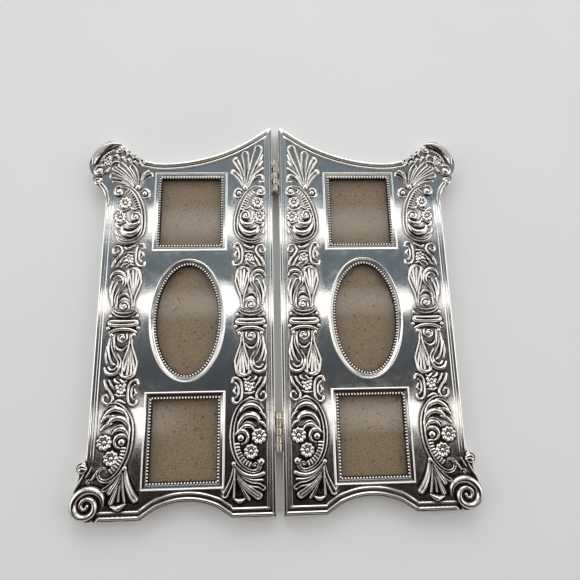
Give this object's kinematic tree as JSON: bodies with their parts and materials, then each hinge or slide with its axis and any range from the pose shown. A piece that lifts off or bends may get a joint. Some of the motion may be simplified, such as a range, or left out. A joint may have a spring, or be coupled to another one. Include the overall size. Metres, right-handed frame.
{
  "type": "hinged double photo frame",
  "caption": "Book-style double photo frame: hinged, embossed silver leaves with beaded square and oval windows, glass panes, back boards and turn buttons.",
  "frame": {"origin": "middle of the open frame, on the plane that its back rests on, under the hinge line", "axes": "+Z out of the front, +Y up to the peaks along the hinge line, +X across to the right leaf"},
  "size_m": [0.2572, 0.256, 0.0123],
  "materials": {
    "silver_plate": "polished silver plate",
    "clear_glass": "clear",
    "mat_card": "plain card",
    "liner_wood": "plain wood",
    "hardboard": "speckled hardboard",
    "hinge_metal": "worn plate",
    "fitting_brass": "plain"
  },
  "bodies": {
    "left_leaf": {"left_front_shell": "silver_plate", "left_upper_glass": "clear_glass", "left_oval_glass": "clear_glass", "left_lower_glass": "clear_glass", "left_window_mat": "mat_card", "left_liner_frame": "liner_wood", "left_back_board": "hardboard", "upper_hinge_leaf_left": "hinge_metal", "upper_hinge_pin": "hinge_metal", "upper_hinge_rivet_left_1": "hinge_metal", "upper_hinge_rivet_left_2": "hinge_metal", "lower_hinge_leaf_left": "hinge_metal", "lower_hinge_pin": "hinge_metal", "lower_hinge_rivet_left_1": "hinge_metal", "lower_hinge_rivet_left_2": "hinge_metal", "left_button_rivet_1": "fitting_brass", "left_button_rivet_2": "fitting_brass", "left_button_rivet_3": "fitting_brass", "left_button_rivet_4": "fitting_brass"},
    "left_button_1": {"left_turn_button_1": "fitting_brass"},
    "left_button_2": {"left_turn_button_2": "fitting_brass"},
    "left_button_3": {"left_turn_button_3": "fitting_brass"},
    "left_button_4": {"left_turn_button_4": "fitting_brass"},
    "right_leaf": {"right_front_shell": "silver_plate", "right_upper_glass": "clear_glass", "right_oval_glass": "clear_glass", "right_lower_glass": "clear_glass", "right_window_mat": "mat_card", "right_liner_frame": "liner_wood", "right_back_board": "hardboard", "upper_hinge_leaf_right": "hinge_metal", "upper_hinge_rivet_right_1": "hinge_metal", "upper_hinge_rivet_right_2": "hinge_metal", "lower_hinge_leaf_right": "hinge_metal", "lower_hinge_rivet_right_1": "hinge_metal", "lower_hinge_rivet_right_2": "hinge_metal", "right_button_rivet_1": "fitting_brass", "right_button_rivet_2": "fitting_brass", "right_button_rivet_3": "fitting_brass", "right_button_rivet_4": "fitting_brass"},
    "right_button_1": {"right_turn_button_1": "fitting_brass"},
    "right_button_2": {"right_turn_button_2": "fitting_brass"},
    "right_button_3": {"right_turn_button_3": "fitting_brass"},
    "right_button_4": {"right_turn_button_4": "fitting_brass"}
  },
  "joints": [
    {"name": "fold", "type": "hinge", "parent": "left_leaf", "child": "right_leaf", "pos_m": [0, 0, 0.0104], "axis": [0, -1, 0], "range_deg": [0, 180]},
    {"name": "left_button_1_turn", "type": "hinge", "parent": "left_leaf", "child": "left_button_1", "pos_m": [-0.01175, -0.062, 0.0013], "axis": [0, 0, 1], "range_deg": [-90, 90]},
    {"name": "left_button_2_turn", "type": "hinge", "parent": "left_leaf", "child": "left_button_2", "pos_m": [-0.01175, 0.044, 0.0013], "axis": [0, 0, 1], "range_deg": [-90, 90]},
    {"name": "left_button_3_turn", "type": "hinge", "parent": "left_leaf", "child": "left_button_3", "pos_m": [-0.10395, -0.062, 0.0013], "axis": [0, 0, 1], "range_deg": [-90, 90]},
    {"name": "left_button_4_turn", "type": "hinge", "parent": "left_leaf", "child": "left_button_4", "pos_m": [-0.10395, 0.044, 0.0013], "axis": [0, 0, 1], "range_deg": [-90, 90]},
    {"name": "right_button_1_turn", "type": "hinge", "parent": "right_leaf", "child": "right_button_1", "pos_m": [0.01175, -0.062, 0.0013], "axis": [0, 0, 1], "range_deg": [-90, 90]},
    {"name": "right_button_2_turn", "type": "hinge", "parent": "right_leaf", "child": "right_button_2", "pos_m": [0.01175, 0.044, 0.0013], "axis": [0, 0, 1], "range_deg": [-90, 90]},
    {"name": "right_button_3_turn", "type": "hinge", "parent": "right_leaf", "child": "right_button_3", "pos_m": [0.10395, -0.062, 0.0013], "axis": [0, 0, 1], "range_deg": [-90, 90]},
    {"name": "right_button_4_turn", "type": "hinge", "parent": "right_leaf", "child": "right_button_4", "pos_m": [0.10395, 0.044, 0.0013], "axis": [0, 0, 1], "range_deg": [-90, 90]}
  ]
}
